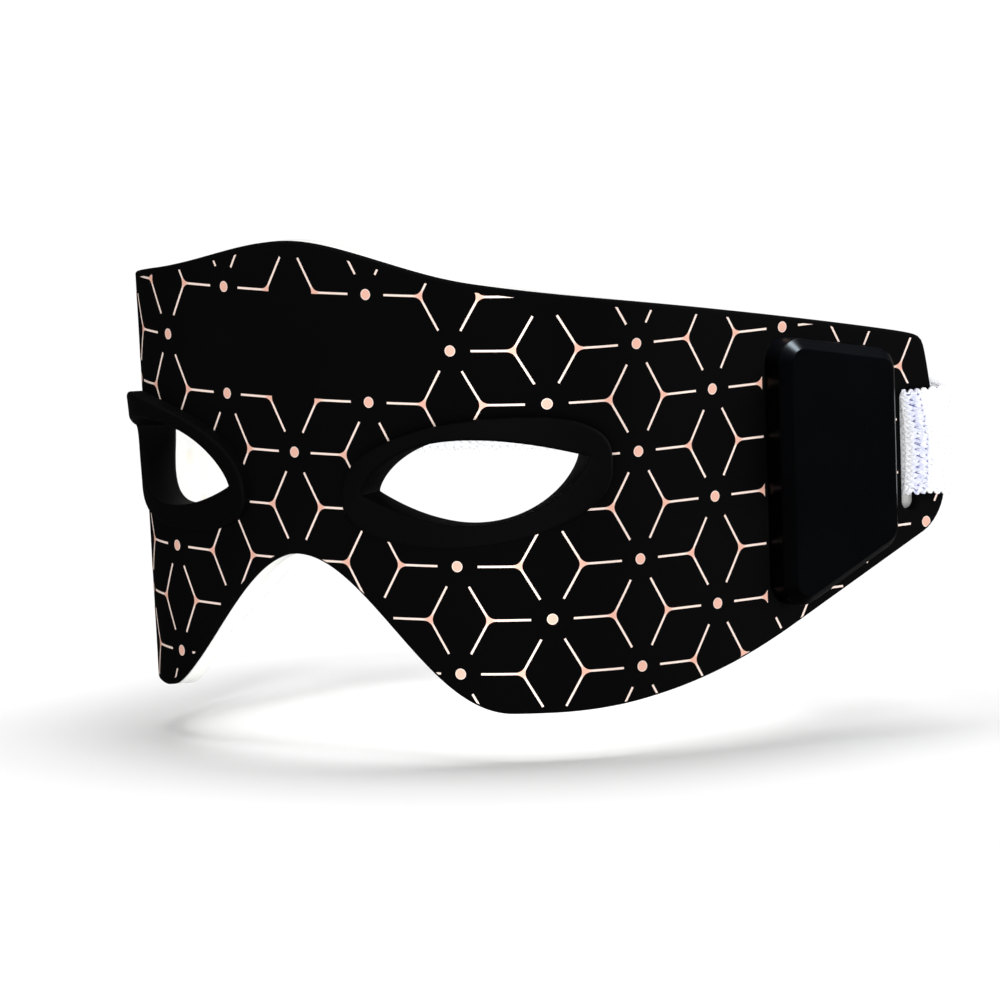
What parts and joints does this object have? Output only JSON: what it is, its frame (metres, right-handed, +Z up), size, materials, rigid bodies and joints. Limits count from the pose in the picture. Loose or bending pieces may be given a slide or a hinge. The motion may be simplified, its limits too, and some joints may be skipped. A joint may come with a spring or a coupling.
{
  "type": "led eye mask",
  "caption": "Curved black silicone light-therapy eye mask with raised eye rims, a printed star lattice, a side controller and a white elastic head strap.",
  "frame": {"origin": "on the face side of the sheet, in the middle of the top of the nose arch, where the mask rests on the bridge of the nose", "axes": "+X to the wearer's left, where the controller is; +Y from the front of the mask towards the back of the head; +Z up"},
  "size_m": [0.1368, 0.1189, 0.0781],
  "materials": {
    "black_silicone": "matt, slightly silky",
    "white_silicone": "milky satin",
    "amber_film": "glossy film",
    "light_lens": "clear gel over a pale yellow chip",
    "grey_plastic": "matt",
    "black_plastic": "fine matt",
    "board_green": "solder mask",
    "chip_black": "moulded epoxy",
    "white_plastic": "matt",
    "steel": "brushed",
    "button_black": "matt",
    "clear_plastic": "frosted",
    "battery_foil": "dull foil",
    "foam_black": "foam",
    "lead_red": "insulation",
    "strap_fabric": "knitted elastic",
    "hook_fabric": "hook tape"
  },
  "bodies": {
    "mask": {"outer_skin": "black_silicone", "light_liner": "white_silicone", "flex_circuit": "amber_film", "brow_lights": "light_lens", "cheek_lights_right": "light_lens", "cheek_lights_left": "light_lens", "eye_rim_right": "black_silicone", "eye_rim_left": "black_silicone", "rim_clip_right": "grey_plastic", "rim_clip_left": "grey_plastic", "controller_cover": "black_plastic", "controller_base": "grey_plastic", "control_board": "board_green", "board_chips": "chip_black", "flex_connector": "white_plastic", "charge_socket": "steel", "button_switch": "steel", "status_light": "clear_plastic", "battery": "battery_foil", "battery_pad": "foam_black", "battery_leads": "lead_red", "case_screws": "steel", "head_strap": "strap_fabric", "hook_tape_right": "hook_fabric", "hook_tape_left": "hook_fabric"},
    "button": {"power_button": "button_black"}
  },
  "joints": [
    {"name": "button_press", "type": "slide", "parent": "mask", "child": "button", "axis": [-0.0749, -0.3856, 0.9196], "range_m": [0, 0.0005], "stiffness_N_per_m": 300}
  ]
}
